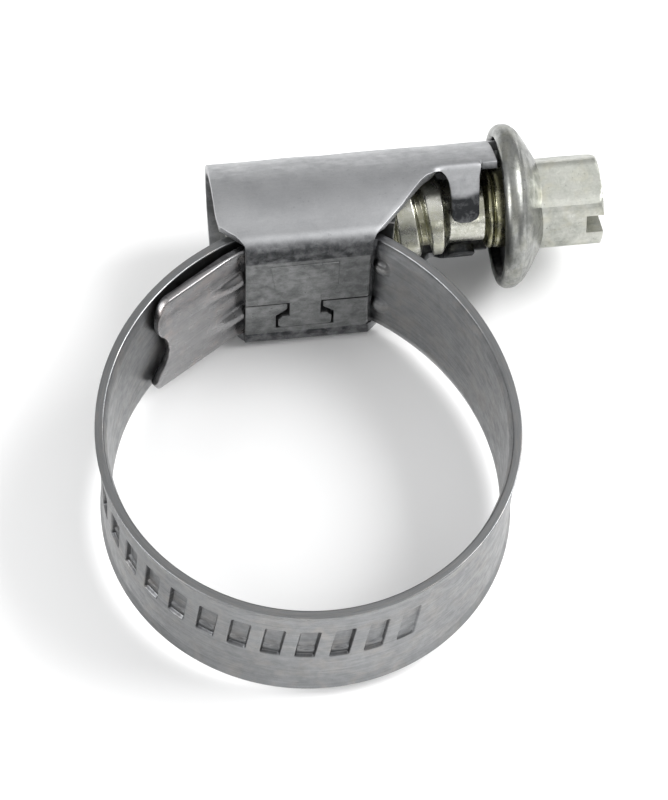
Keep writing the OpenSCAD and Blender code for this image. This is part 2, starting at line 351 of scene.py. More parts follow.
def groove_depth(local, z, cell):
    """Depth of the pressed pocket in a half link; local is measured along its slant."""
    across = z - GROOVE_Z
    corner = 0.22
    qx = np.abs(local) - (GROOVE_HALF_U - corner)
    qz = np.abs(across) - (GROOVE_HALF_Z - corner)
    d = (np.hypot(np.maximum(qx, 0), np.maximum(qz, 0))
         + np.minimum(np.maximum(qx, qz), 0) - corner)
    wall = smooth((0.03 - d) / 0.15)
    step = -1.42 + 0.3 * (local / GROOVE_HALF_U) ** 2
    floor = 1 - 0.34 * (1 - smooth((across - step) / 0.1))
    full = min(1.0, (cell - FIRST_GROOVE + 2) / 4)
    # painted shade: darkest on the pocket's sloping walls, lighter on its floor, fainter where the
    # pockets start
    painted_shade = (0.3 * wall + 2.2 * wall * (1 - wall)) * (0.4 + 0.6 * full)
    return GROOVE_DEPTH * full * wall * floor, painted_shade


def across_lines(grooved):
    """Places across the band where its mesh has a line of points."""
    edge = BAND_W / 2 - rim_steps(BAND_RIM)
    side = [4.6, 4.85, 4.95, 5.08, 5.25, 5.45, 5.65, *edge]
    if grooved:
        wall = [0.06, 0.02, -0.02, -0.06, -0.1, -0.15]
        low = [GROOVE_Z - GROOVE_HALF_Z - w for w in wall]
        high = [GROOVE_Z + GROOVE_HALF_Z + w for w in reversed(wall)]
        step = list(GROOVE_Z - 1.42 + np.linspace(0, 0.42, 8))
        inner = [-3.6, -2.4, -1.5, *low, *step, 0.5, 1.1, 1.7, 2.3, 2.8, *high, 3.9]
    else:
        inner = [0.15 + 0.2125 * k for k in range(-18, 19)]
    return np.array(sorted([-s for s in side] + inner + side))


def half_link_lines(cell):
    """Rings of one half link: (place along its slant, share of the slant, cell)."""
    if cell < FIRST_GROOVE:
        local = [-1.285, -0.8, -0.3, 0.3, 0.8]
        ramp = cell == FIRST_GROOVE - 1
        return [(v, (v + 1.285) / PITCH if ramp else 0.0, cell) for v in local]
    half = [1.285, 0.97, 0.80, 0.755, 0.715, 0.675, 0.635, 0.58, 0.3]
    return [(v, 1.0, cell) for v in [-h for h in half] + [0.0] + [h for h in reversed(half[1:])]]


def strip_rings(cells, extra_start=(), extra_end=()):
    rows = [("plain", u) for u in extra_start]
    for c in cells:
        rows += half_link_lines(c)
    last = cells[-1]
    rows.append((1.285, 0.0 if last < FIRST_GROOVE - 1 else 1.0, last))
    return rows + [("plain", u) for u in extra_end]


def strip_mesh(name, rows, grooved, start_flare=False):
    """One length of band as a closed skin. The first and last rows only set its normals."""
    z = across_lines(grooved)
    sheared = SLANT * np.clip(z, -1.1, 3.5)
    rim = rim_loss(BAND_W / 2 - np.abs(z), BAND_RIM)
    us, hs_out, hs_in, shade_rows = [], [], [], []
    for row in rows:
        band_shade = 0 * z
        if row[0] == "plain":
            u, depth = np.full_like(z, row[1]), 0 * z
        else:
            local, share, cell = row
            u = FIRST_JOINT + (cell + 0.5) * PITCH + local - share * sheared
            if cell >= FIRST_GROOVE:
                depth, band_shade = groove_depth(local, z, cell)
            else:
                depth = 0 * z
        lift, lug = edge_flare(z), 0 * z
        if start_flare:
            lift = lift * smooth((u - U_FOLD) / FOLD_LENGTH)
            for lug_z in LUG_Z:
                ball = 1 - ((u - LUG_U) / 0.8) ** 2 - ((z - lug_z) / 0.85) ** 2
                lug = lug + np.sqrt(np.maximum(ball, 0))
            # painted shade on the band's end that runs under the saddle, on both its sides, lighter on
            # the two lugs
            band_shade = 0.9 * (1 - smooth((u - U_SHOULDER - 0.1) / 1.3)) * (1 - 0.8 * lug)
        us.append(u)
        hs_out.append(BAND_T + lift - rim - depth + LUG_OUT * lug)
        hs_in.append(lift + rim - LUG_IN * lug)
        shade_rows.append(np.concatenate([band_shade, (band_shade if start_flare else 0 * z)[::-1]]))
    us, zz = np.array(us), np.tile(z, (len(rows), 1))
    outer = strip_point(us, zz, np.array(hs_out))
    inner = strip_point(us, zz, np.array(hs_in))
    rings = np.concatenate([outer, inner[:, ::-1]], axis=1)
    coords = np.stack([us, zz, 0 * zz], -1)
    coords = np.concatenate([coords, coords[:, ::-1] + [0, 0, -7.0]], axis=1)
    m = rings.shape[1]
    everything = rings.reshape(-1, 3)
    normals = face_sum_normals(everything, tube_faces(len(rows), m))
    centre_out = everything - np.roll(rings, m // 2, axis=1).reshape(-1, 3)
    if np.sum(normals * centre_out) < 0:
        normals = -normals
    points = rings[1:-1].reshape(-1, 3)
    normals = normals.reshape(rings.shape)[1:-1].reshape(-1, 3)
    coords = coords[1:-1].reshape(-1, 3)
    n = len(rows) - 2
    faces = tube_faces(n, m).tolist()
    faces += [list(range(m)), list(range((n - 1) * m, n * m))]
    obj = make_object(name, points, faces, coords, sharp=None)
    mesh = obj.data
    add_painted_shade(mesh, np.array(shade_rows[1:-1]).ravel())
    loops = np.zeros(len(mesh.loops), np.int64)
    mesh.loops.foreach_get("vertex_index", loops)
    split = normals[loops]
    for poly in mesh.polygons:
        if len(poly.vertices) > 4:
            split[poly.loop_start:poly.loop_start + poly.loop_total] = poly.normal
    mesh.normals_split_custom_set(split.tolist())
    return finish_piece(obj, band_steel)


def place(u, h=BAND_T / 2):
    """A point in the band's middle, in metres."""
    return Vector(strip_point(u, 0.0, h) * MM)


def joint_u(k):
    return FIRST_JOINT + 2 * k * PITCH


def build_band():
    node = ["band_anchor"] + [f"band_link_{i:02d}" for i in range(1, LINKS + 1)]
    for i in range(LINKS):
        grooved = 2 * i + 1 >= FIRST_GROOVE
        if i == 0:
            start = [-27.6, -27.5, -26, -24, -22, -20.5, U_FOLD - 0.3, U_FOLD]
            start += list(np.linspace(U_FOLD, U_SHOULDER, 9)[1:])
            start += list(np.linspace(U_SHOULDER, -17.2, 13)[1:]) + [-16.7, -15.9, -15.1, -14.3]
            rows = strip_rings([0, 1], start)[: len(start) + 6 + 1]
        elif i == LINKS - 1:
            end = FIRST_JOINT + 2 * LINKS * PITCH - 0.2
            rows = strip_rings(range(2 * i - 2, 2 * LINKS))
            rows = rows[len(half_link_lines(2 * i - 2)) - 1:-1]
            rows = [r for r in rows if r[2] < 2 * LINKS - 1 or r[0] < 0.9]
            rows += [("plain", end - 0.1), ("plain", end), ("plain", end + 0.1)]
        else:
            rows = strip_rings(range(2 * i - 2, 2 * i + 2))
            first = len(half_link_lines(2 * i - 2))
            last = len(half_link_lines(2 * i + 1))
            rows = rows[first - 1:len(rows) - last + 1]
        obj = strip_mesh(f"band_strip_{i:02d}", rows, grooved, start_flare=i == 0)
        u = joint_u(i)
        reach = PITCH - 0.45
        place(u - reach)
        place(u + reach)
        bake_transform(obj)
        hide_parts(*([node[i]] if i < LINKS - 1 else node[i:]))


build_band()


def build_tongue():
    """The band's tip inside the ring: bent at the saddle, two ribs, fish-tail end."""
    slope, bend_r, start_x = math.radians(TONGUE_SLOPE), 1.5, -2.6
    tangent = bend_r * math.tan(slope / 2)
    lead = start_x - (TONGUE_X + tangent)
    arc = bend_r * slope
    w = np.array(sorted({*np.round(np.linspace(-5.75, 5.75, 47), 4),
                         *(BAND_W / 2 - rim_steps(0.14)), *-(BAND_W / 2 - rim_steps(0.14))}))
    end = TONGUE_LENGTH + np.interp(
        w, [-6.0, -5.8, -5.3, -4.7, -4.2, -3.9, -3.6, -3.2, -2.7, -2.0, -1.1, -0.2, 0.7, 1.4, 2.0,
            2.7, 3.6, 4.5, 5.2, 5.6, 5.85, 6.0],
        [-0.9, -0.4, 0.2, 0.65, 0.85, 0.8, 0.5, -0.05, -0.5, -0.85, -0.98, -0.92, -0.75, -0.45,
         -0.1, 0.15, 0.25, 0.22, 0.0, -0.35, -0.75, -1.15])
    share = np.linspace(0, 1, 52)
    rim = rim_steps(0.16)
    total = lead + arc - tangent + end
    s = np.concatenate([share[None, :] * (total - 0.2)[:, None], total[:, None] - rim], axis=1)
    a = np.clip((s - lead) / bend_r, 0, slope)
    after = np.maximum(s - lead - arc, 0)
    x = start_x - np.minimum(s, lead) - bend_r * np.sin(a) - after * math.cos(slope)
    y = SEAT_Y + BAND_T / 2 - bend_r * (1 - np.cos(a)) - after * math.sin(slope)
    ww = np.broadcast_to(w[:, None], s.shape)
    out = np.stack([-np.sin(a), np.cos(a), 0 * a], -1)
    v = s - (lead + arc - tangent)
    rib = 0 * v
    for centre in (-2.5, 2.5):
        wide = np.maximum(1 - ((ww - centre) / 0.85) ** 2, 0) ** 0.75
        rib = rib + 0.55 * wide * smooth((v + 0.15) / 0.35) * (1 - smooth((v - 0.9) / 3.6))
    lift = 0.6 * edge_flare(ww) * smooth(v / 1.5) - rib - 0.4 * smooth((v - 7.7) / 1.7)
    mid = np.stack([x, y, ww], -1) + out * lift[..., None]
    side = rim_loss(BAND_W / 2 - np.abs(ww), 0.14)
    tip = rim_loss(total[:, None] - s, 0.16)
    half = BAND_T / 2 - np.minimum(side + tip, BAND_T / 2 - 0.02)
    rings = shell_rings(mid, out, half, half)
    n, m = rings.shape[:2]
    coords = np.stack([s + 40, ww, 0 * s], -1)
    coords = np.concatenate([coords, coords[:, ::-1] + [0, 0, -7.0]], axis=1)
    faces = tube_faces(n, m).tolist() + [list(range(m)), list(range((n - 1) * m, n * m))]
    obj = make_object("band_tip", rings, faces, coords.reshape(-1, 3), sharp=50)
    # painted shade and painted dark reflections: the hidden outer side and rim dark all over, the
    # tongue dark where it leaves the saddle, darker stripes beside its ribs and a faint one near one
    # edge
    valley = np.exp(-((np.abs(ww) - 1.1) / 0.5) ** 2) + np.exp(-((np.abs(ww) - 4.1) / 0.6) ** 2)
    dark = np.maximum(0.95 * (1 - smooth((v + 0.3) / 0.35)), 0.9 * valley * (1 - smooth(v / 3.4)))
    dark = np.maximum(dark, 0.35 * np.exp(-((ww - 4.3) / 0.7) ** 2))
    add_painted_shade(obj.data, np.concatenate([0 * dark + 0.9, dark[:, ::-1]], axis=1).ravel())
    finish_piece(obj, tongue_steel)
    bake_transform(obj)
    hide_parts("band_tongue")


# ---------------------------------------------------------------- the housing
Y1 = SADDLE_Y + 2.7
SIDE_R = (HALF ** 2 + (SCREW_Y - Y1) ** 2 - ARCH_R ** 2) / (2 * (HALF - ARCH_R))
SIDE_TOP = math.atan2(SCREW_Y - Y1, SIDE_R - HALF)
SEAM_Z = 5.15
WINDOW_TOP, NOTCH_TOP = 21.35, 22.3  # heights of the window's arch and of the notch's top
TAB_LEAVES = 0.5  # how far along the tab's line the arch meets it
WALL_RIM = 0.13  # how round the wall's cut edges are
TRIM_X = 17.7  # where the wall's end stands back, outside the arch
NEAR, ARCH, TAB, FAR = 22, 4, 8, 3  # the wall's columns: left of the window, over it, the tab, notch
TAB_L, TAB_R = NEAR + ARCH, NEAR + ARCH + TAB


def half_section():
    """The housing's outline from the saddle's flat to the top: y, z and its normal."""
    rows = [(SADDLE_Y, z, -1.0, 0.0) for z in (SEAM_Z, 5.5)]
    corner = HALF - BEND
    for a in np.radians(np.linspace(0, 90, 13)):
        rows.append((SADDLE_Y + BEND - BEND * math.cos(a), corner + BEND * math.sin(a),
                     -math.cos(a), math.sin(a)))
    rows += [(y, HALF, 0.0, 1.0) for y in (16.8, 17.3, 17.72, 17.78, 17.9)]
    ys = [18.44, 19.0, 19.6, 20.27, 20.82, WINDOW_TOP, 21.66, 21.98, NOTCH_TOP]
    ys += [22.65, 23.2, 24.0, 25.0]
    angles = [math.asin((y - Y1) / SIDE_R) for y in ys]
    angles += list(np.linspace(angles[-1], SIDE_TOP, 9)[1:])
    for b in [0.0] + angles:
        rows.append((Y1 + SIDE_R * math.sin(b), HALF - SIDE_R + SIDE_R * math.cos(b),
                     math.sin(b), math.cos(b)))
    for c in np.linspace(SIDE_TOP, math.pi / 2, 8)[1:]:
        rows.append((SCREW_Y + ARCH_R * math.sin(c), ARCH_R * math.cos(c),
                     math.sin(c), math.cos(c)))
    return rows


def left_end(y):
    return np.interp(y, [15.9, 16.3, 16.8, 17.3, 17.72, 17.78, 19.2, 21.5],
                     [SADDLE_L, -3.4, -3.75, -4.35, -4.8, -4.92, -5.1, TUNNEL_L])


def window_left(y):
    return np.interp(y, [15.45, 15.95, 18.44, 19.86, 20.82, WINDOW_TOP],
                     [SADDLE_R, 7.2, 9.55, 10.62, 11.38, 11.95])


def tab_path():
    """The tab's outer line from the notch's top inward under the screw: (y, z) and normal."""
    side = [[y, HALF - SIDE_R + math.sqrt(SIDE_R ** 2 - (y - Y1) ** 2)]
            for y in (22.75, 22.6, 22.45, NOTCH_TOP)]
    path = np.array(side + [[21.92, 6.24], [21.4, 5.74], [20.95, 5.1], [20.5, 4.38], [20.12, 3.65],
                            [19.78, 2.88], [19.5, 2.1]])
    t = np.linspace(3, len(path) - 1, 160)
    k = np.minimum(t.astype(int), len(path) - 2)
    f = (t - k)[:, None]
    prev, a, b, nxt = (path[np.clip(k + o, 0, len(path) - 1)] for o in (-1, 0, 1, 2))
    yz = 0.5 * (2 * a + (b - prev) * f + (2 * prev - 5 * a + 4 * b - nxt) * f ** 2
                + (3 * a - prev - 3 * b + nxt) * f ** 3)
    along = np.gradient(yz, axis=0)
    along /= np.linalg.norm(along, axis=1, keepdims=True)
    travel = np.concatenate([[0], np.cumsum(np.linalg.norm(np.diff(yz, axis=0), axis=1))])
    return travel, np.column_stack([yz, along[:, 1], -along[:, 0]])


class Sheet:
    """A bent sheet: points in pairs, one on each of its sides, and the quads between them."""

    def __init__(self):
        self.bm = bmesh.new()
        self.painted_shade = self.bm.verts.layers.float.new(PAINTED_SHADE)
        self.pairs = {}

    def add(self, key, x, section, dark, inner_shade):
        """A pair of points; section is the outer one's y and z and its normal's."""
        y, z, ny, nz = section
        dip = 0.05 * soft_noise.noise(Vector((x, y, z)) / 3.2 + Vector((3, -3, 6))) - 0.02
        dip = min(dip, 0) * float(smooth((abs(y) - 15.6) / 2))
        made = []
        for depth, painted_shade in ((-dip, dark), (SHEET - dip, inner_shade)):
            v = self.bm.verts.new((x * MM, (y - ny * depth) * MM, (z - nz * depth) * MM))
            v[self.painted_shade] = painted_shade
            made.append(v)
        self.pairs[key] = made

    def quad(self, keys):
        """A face on each side, where all four of its pairs are there."""
        if all(k in self.pairs for k in keys):
            for side, order in ((0, keys), (1, keys[::-1])):
                self.bm.faces.new([self.pairs[k][side] for k in order])

    def close(self, name):
        """The mesh, with its cut edges closed and rounded."""
        bm = self.bm
        other = {outer: inner for outer, inner in self.pairs.values()}
        rim = [e for e in bm.edges if len(e.link_faces) == 1]
        for e in [e for e in rim if e.verts[0] in other]:
            a, b = e.verts
            bm.faces.new((a, b, other[b], other[a]))
        bmesh.ops.recalc_face_normals(bm, faces=bm.faces)
        bmesh.ops.bevel(bm, geom=rim, offset=WALL_RIM * MM, segments=3, profile=0.5,
                        affect="EDGES", clamp_overlap=True)
        mesh = bpy.data.meshes.new(name)
        bm.to_mesh(mesh)
        bm.free()
        return mesh


def upper_row(sheet, i, sign, section, window, tab_section):
    """The part of a row that goes on past the window: over it, the tab, and the notch's edge."""
    y, z = section[:2]
    whole = y >= NOTCH_TOP - 0.01
    target = section if whole else tab_section(TAB_LEAVES * (NOTCH_TOP - y) / (NOTCH_TOP - WINDOW_TOP))
    edge_l = np.interp(target[0], [21.85, 22.3, 24], [13.2, 13.0, 13.0])
    edge_r = np.interp(target[0], [21.85, 22.3, 24], [16.36, 16.5, 16.5])
    outside = math.hypot(y - SCREW_Y, z) > ARCH_R + 0.02
    right = TRIM_X if outside else TUNNEL_R
    for j in range(NEAR + 1, (TAB_R + FAR if whole else TAB_R) + 1):
        part, bow = 1.0, 0.0
        if j <= TAB_L:
            share = (j - NEAR) / ARCH
            x = window + (edge_l - window) * share
            part = float(smooth(share))
            bow = 0.1 * math.sin(math.pi * share) if abs(y - WINDOW_TOP) < 0.01 else 0.0
        elif j <= TAB_R:
            x = edge_l + (edge_r - edge_l) * (j - TAB_L) / TAB
        else:
            x = edge_r + (right - edge_r) * (j - TAB_R) / FAR
        py, pz, ny, nz = (s + (t - s) * part for s, t in zip(section, target))
        size = math.hypot(ny, nz)
        # painted shade on the inner side, lighter above the tab's top
        sheet.add((i, j), x, (py + bow, sign * pz, ny / size, sign * nz / size), 0.0,
                  1.0 if y < 22.7 else 0.55)


def hang_tab(sheet, i, sign, length, tab_section):
    """One of the two tabs, from its side's row i down and in under the screw's neck."""
    steps = np.linspace(TAB_LEAVES, length, 18)
    for j in range(TAB + 1):
        sheet.pairs[sign, 0, j, "tab"] = sheet.pairs[i, TAB_L + j]
    for n, distance in list(enumerate(steps))[1:]:
        ty, tz, tny, tnz = tab_section(distance)
        inset = 0.9 * float(rim_loss(length - distance, 0.8))
        edge_l = np.interp(ty, [20, 20.8, 21.25, 21.5, 21.7, 21.85],
                           [13.95, 13.87, 13.74, 13.58, 13.42, 13.2]) + inset
        edge_r = np.interp(ty, [20, 21.4, 21.85], [16.15, 16.22, 16.36]) - inset
        down = distance / length
        for j in range(TAB + 1):
            across = j / TAB
            # painted shade: one tab dark all over, the other dark below a wavy painted shadow line and
            # a little lighter at its tip; both inner sides dark
            dark = 1.0
            if sign > 0:
                line = 0.44 + 0.05 * math.sin(3.1 * across + 0.4)
                dark = float(smooth((down - line) / 0.1))
                dark *= 1 - 0.35 * float(smooth((down - 0.93) / 0.05))
            sheet.add((sign, n, j, "tab"), edge_l + (edge_r - edge_l) * across,
                      (ty, sign * tz, tny, sign * tnz), dark, 0.9)
    for n in range(len(steps) - 1):
        for j in range(TAB):
            keys = [(sign, a, b, "tab") for a, b in ((n, j), (n, j + 1), (n + 1, j + 1), (n + 1, j))]
            sheet.quad(keys if sign < 0 else keys[::-1])


def build_wall():
    """The housing's bent sheet: arch, sides, window, neck tabs and notch in one skin."""
    half = half_section()
    rows = [(1, r) for r in half] + [(-1, r) for r in half[-2::-1]]
    travel, tab = tab_path()
    sheet = Sheet()

    def tab_section(distance):
        return [float(np.interp(distance, travel, tab[:, k])) for k in range(4)]

    for i, (sign, (y, z, ny, nz)) in enumerate(rows):
        # painted shade: the sheet darker where it turns down into the saddle, with a dark line near
        # the seam, and its inner side darker throughout
        down = math.degrees(math.atan2(max(-ny, 0), abs(nz)))
        bend_shade = 0.85 * float(smooth((down - 12) / 45))
        bend_shade += 0.4 * math.exp(-((z - 5.35) / 0.13) ** 2)
        dark = min(bend_shade, 1) if y < 17 else 0.0
        left, window = float(left_end(y)), float(window_left(y))
        for j in range(NEAR + 1):
            x = left + (window - left) * j / NEAR
            sheet.add((i, j), x, (y, sign * z, ny, sign * nz), dark, max(dark, 0.55))
        if y >= WINDOW_TOP - 0.01:
            upper_row(sheet, i, sign, (y, z, ny, nz), window, tab_section)
    for i in range(len(rows) - 1):
        for j in range(TAB_R + FAR):
            sheet.quad([(i, j), (i, j + 1), (i + 1, j + 1), (i + 1, j)])
    for sign in (1, -1):
        arch_row = [k for k, (s, r) in enumerate(rows) if s == sign and abs(r[0] - WINDOW_TOP) < 0.01]
        hang_tab(sheet, arch_row[0], sign, travel[-1], tab_section)
    mesh = sheet.close("housing_wall")
    mesh.shade_smooth()
    mesh.set_sharp_from_angle(angle=math.radians(55))
    obj = bpy.data.objects.new("housing_wall", mesh)
    bpy.context.scene.collection.objects.link(obj)
    own_coords(obj)
    finish_piece(obj, housing_steel)
    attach(obj, "housing")
    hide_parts("housing")


def plate(name, outline, low_y, high_y, bevel=0.07, seams=(), lips=(), painted_shade=0.1):
    """A flat piece of sheet between two heights, outline in (x, z), its edges rounded
    but for those on the seams, and more rounded on the lips."""
    bm = bmesh.new()
    low = [bm.verts.new((x * MM, low_y * MM, z * MM)) for x, z in outline]
    face = bm.faces.new(low)
    moved = bmesh.ops.extrude_face_region(bm, geom=[face])
    for v in moved["geom"]:
        if isinstance(v, bmesh.types.BMVert):
            v.co.y = high_y * MM
    bmesh.ops.recalc_face_normals(bm, faces=bm.faces)

    def on(edge, axis, value):
        return all(abs(v.co[axis] / MM - value) < 1e-3 for v in edge.verts)

    edges = [e for e in bm.edges if not any(on(e, 2, s) for s in seams)]
    wide = [e for e in edges if any(on(e, 0, v) for v in lips) and on(e, 1, low_y)]
    narrow = [e for e in edges if e not in wide]
    if wide:
        bmesh.ops.bevel(bm, geom=wide, offset=0.3 * MM, segments=4, profile=0.5,
                        affect="EDGES")
        narrow = [e for e in narrow if e.is_valid]
    bmesh.ops.bevel(bm, geom=narrow, offset=bevel * MM, segments=3, profile=0.5,
                    affect="EDGES", clamp_overlap=True)
    mesh = bpy.data.meshes.new(name)
    bm.to_mesh(mesh)
    bm.free()
    mesh.shade_smooth()
    mesh.set_sharp_from_angle(angle=math.radians(32))
    obj = bpy.data.objects.new(name, mesh)
    bpy.context.scene.collection.objects.link(obj)
    own_coords(obj)
    # painted shade: an even, slight darkening of the plate
    add_painted_shade(obj.data, painted_shade)
    finish_piece(obj, saddle_steel_painted_shade)
    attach(obj, "housing")


def build_saddle():
    """The saddle's flat plates: upper flap, lower flap with its slot, and the T that locks it."""
    g, hole = 0.09, 0.8  # half the lock's gap, and the open corners beside its neck
    split = -0.92
    neck_l, neck_r, head_l, head_r = 0.35, 3.05, -0.55, 3.95
    head_top, head_low = -2.75, -4.4
    left, right = SADDLE_L, SADDLE_R
    face, back = SADDLE_Y + 0.03, SADDLE_Y + SHEET
    flap = [(left, split + g), (right, split + g), (right, SEAM_Z), (left, SEAM_Z)]
    plate("saddle_flap", flap, face, back, bevel=0.05, lips=(right,))
    top = head_top + 2 * g
    slot = [(left, -SEAM_Z), (right, -SEAM_Z), (right, split - g), (neck_r + g, split - g),
            (neck_r + g, top + hole), (neck_r + g + hole, top), (head_r + g, top),
            (head_r + g, head_low - g), (head_l - g, head_low - g), (head_l - g, top),
            (neck_l - g - hole, top), (neck_l - g, top + hole), (neck_l - g, split - g),
            (left, split - g)]
    plate("saddle_slot", slot, face, back, bevel=0.05, seams=(-SEAM_Z,), lips=(right,))
    lock = [(-1.15, 4.6), (-0.75, 1.3), (-0.1, 0.3), (neck_l + g, -0.05),
            (neck_l + g, head_top + 0.1), (neck_l + g - 0.1, head_top), (head_l + 0.4, head_top),
            (head_l + g, head_top - 0.4), (head_l + g, head_low + 0.3), (head_l + 0.35, head_low + g),
            (head_r - 0.35, head_low + g), (head_r - g, head_low + 0.3), (head_r - g, head_top - 0.4),
            (head_r - 0.4, head_top), (neck_r - g + 0.1, head_top), (neck_r - g, head_top + 0.1),
            (neck_r - g, 0.1), (4.1, 0.6), (4.3, 1.4), (4.3, 4.6)]
    plate("saddle_lock", lock, SADDLE_Y - 0.05, back, painted_shade=0.0)


# ---------------------------------------------------------------- the screw
def rounded(profile, cuts=3):
    """A profile with its corners cut again and again, its ends kept."""
    p = np.array(profile, float)
    for _ in range(cuts):
        a, b = p[:-1], p[1:]
        q = np.stack([0.75 * a + 0.25 * b, 0.25 * a + 0.75 * b], 1).reshape(-1, 2)
        p = np.concatenate([p[:1], q[1:-1], p[-1:]])
    return p


def lathe(name, profile, segments=112, sharp=45):
    """Turned round the screw's axis: profile is (x, radius) from one end to the other."""
    profile = np.asarray(profile, float)
    a = np.linspace(0, 2 * math.pi, segments, endpoint=False)
    x, r = profile[:, :1], profile[:, 1:]
    rings = np.stack([np.broadcast_to(x, (len(profile), segments)),
                      SCREW_Y + r * np.cos(a), r * np.sin(a)], -1)
    n = len(profile)
    faces = tube_faces(n, segments).tolist()
    faces += [list(range(segments)), list(range((n - 1) * segments, n * segments))]
    return make_object(name, rings, faces, sharp=sharp)


def build_thread():
    left, right, crest_x, width = -3.9, 13.9, 2.919, 1.06
    n, m = 262, 88
    x = np.concatenate([np.linspace(left, right, 250), np.linspace(14.1, 16.8, 12)])[:, None]
    a = np.linspace(0, 2 * math.pi, m, endpoint=False)[None, :]
    p = (x - crest_x) / PITCH - (a - math.pi) / (2 * math.pi)
    q = np.abs(p - np.floor(p + 0.5)) * PITCH / width
    ridge = 1 - smooth((q - 0.68) / 0.32)
    fade = np.clip(np.minimum(np.minimum((x - left) / 0.9, (right - x) / 0.6), 1), 0, 1)
    foot = np.where(x > right, 2.55, ROOT)
    r = foot + (CREST - 0.02 - foot) * ridge * fade
    rings = np.stack([x + 0 * a, SCREW_Y + r * np.cos(a), r * np.sin(a)], -1)
    coords = np.stack([x + 0 * a, r * np.cos(a), r * np.sin(a)], -1).reshape(-1, 3)
    faces = tube_faces(n, m).tolist() + [list(range(m)), list(range((n - 1) * m, n * m))]
    obj = make_object("screw_thread", rings, faces, coords, sharp=60)
    # painted shade in the thread's grooves, tinted olive
    add_painted_shade(obj.data, (0.75 * smooth((q - 0.9) / 0.2) * fade + 0 * r).ravel())
    finish_piece(obj, thread_zinc_painted_light)
    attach(obj, "screw")
    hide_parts("screw")


def build_flange():
    collar = [(16.7, 2.3), (16.75, 2.6), (16.9, 2.85), (16.95, 3.1), (17.1, 3.25), (17.4, 3.25),
              (17.47, 3.12), (17.57, 3.12), (17.65, 3.25), (18.0, 3.3), (18.5, 3.27), (18.8, 3.3),
              (18.82, 2.0)]
    obj = lathe("screw_collar", rounded(collar, 2), segments=112)
    r = [math.hypot(v.co.y / MM - SCREW_Y, v.co.z / MM) for v in obj.data.vertices]
    # painted shade: the collar mixed toward the olive shade colour, fully but on its outermost ribs
    add_painted_shade(obj.data, 0.78 + 0.22 * smooth((3.24 - np.array(r)) / 0.12))
    finish_piece(obj, thread_zinc_painted_light)
    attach(obj, "screw")
    flange = [(18.74, 2.9), (18.75, 3.4), (18.76, 4.9), (18.72, 5.4), (18.4, 5.55), (18.1, 5.62),
              (17.95, 5.78), (17.9, 6.05), (18.0, 6.35), (18.3, 6.6), (18.65, 6.66), (19.05, 6.64),
              (19.35, 6.5), (19.5, 6.36), (19.72, 6.22), (20.1, 5.72), (20.5, 5.1), (20.85, 4.5),
              (21.1, 4.05), (21.3, 3.7), (21.4, 3.4), (21.4, 2.0)]
    obj = lathe("screw_flange", rounded(flange, 2), segments=128)
    # painted shade on the flange's back face, inside its rim, where it faces the housing
    back_shade = []
    for v in obj.data.vertices:
        y, z = v.co.y / MM - SCREW_Y, v.co.z / MM
        r = math.hypot(y, z)
        out_of_true = 0.22 * (r / 6.65) ** 2 if v.co.x / MM > 17.7 else 0.0
        towards = y * math.cos(math.pi / 6) + z * math.sin(math.pi / 6)
        v.co.x += out_of_true * MM * towards / max(r, 1)
        back_shade.append(0.8 if v.co.x / MM < 18.85 and r < 5.65 else 0.0)
    add_painted_shade(obj.data, back_shade)
    finish_piece(obj, flange_steel)
    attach(obj, "screw")


def build_hexagon():
    """The head: hexagon with a turned chamfer, a slot and worn, rounded edges."""
    half = HEX_FLATS / 2
    count = 120
    corner = math.radians(HEX_CORNER)
    a = np.linspace(0, 2 * math.pi, count, endpoint=False) + corner
    into = (a - corner + math.pi / 6) % (math.pi / 3) - math.pi / 6
    reach = half / np.cos(math.pi / 6 - np.abs(into))
    soft = 0.12
    reach = reach - soft * np.exp(-(into / 0.06) ** 2)
    xs = [*np.linspace(HEX_START, 25.7, 34), 25.9, 26.05, 26.17, HEX_END]
    limit = [9] * 33 + [4.15, 3.98, 3.86, 3.74, 3.6]
    rings = []
    for x, top in zip(xs, limit):
        r = np.minimum(reach, top)
        rings.append(np.stack([0 * a + x, SCREW_Y + r * np.cos(a), r * np.sin(a)], -1))
    for share in (0.96, 0.6, 0.25):
        r = np.minimum(reach, limit[-1]) * share
        rings.append(np.stack([0 * a + HEX_END, SCREW_Y + r * np.cos(a), r * np.sin(a)], -1))
    n = len(rings)
    faces = tube_faces(n, count).tolist()
    faces += [list(range(count)), list(range((n - 1) * count, n * count))]
    obj = make_object("screw_hexagon", np.array(rings), faces, sharp=20)
    cutter = bpy.data.objects.new("slot_cutter", bpy.data.meshes.new("slot_cutter"))
    bpy.context.scene.collection.objects.link(cutter)
    bm = bmesh.new()
    bmesh.ops.create_cube(bm, size=1.0)
    turn = Matrix.Rotation(math.radians(SLOT_ANGLE - 90), 4, "X")
    size = Matrix.Diagonal((2 * SLOT_DEPTH, SLOT_WIDTH, 12.0, 1.0))
    for v in bm.verts:
        v.co = (turn @ size @ v.co + Vector((HEX_END, SCREW_Y, 0))) * MM
    bm.to_mesh(cutter.data)
    bm.free()
    cut = obj.modifiers.new("slot", "BOOLEAN")
    cut.operation, cut.solver, cut.object = "DIFFERENCE", "EXACT", cutter
    edge = obj.modifiers.new("edge", "BEVEL")
    edge.width, edge.segments, edge.limit_method = 0.11 * MM, 3, "ANGLE"
    edge.angle_limit = math.radians(38)
    edge.harden_normals = False
    bake_modifiers(obj)
    bpy.data.objects.remove(cutter)
    obj.data.shade_smooth()
    obj.data.set_sharp_from_angle(angle=math.radians(28))
    own_coords(obj)
    finish_piece(obj, zinc)
    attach(obj, "screw")


build_tongue()
build_wall()
build_saddle()
build_thread()
build_flange()
build_hexagon()


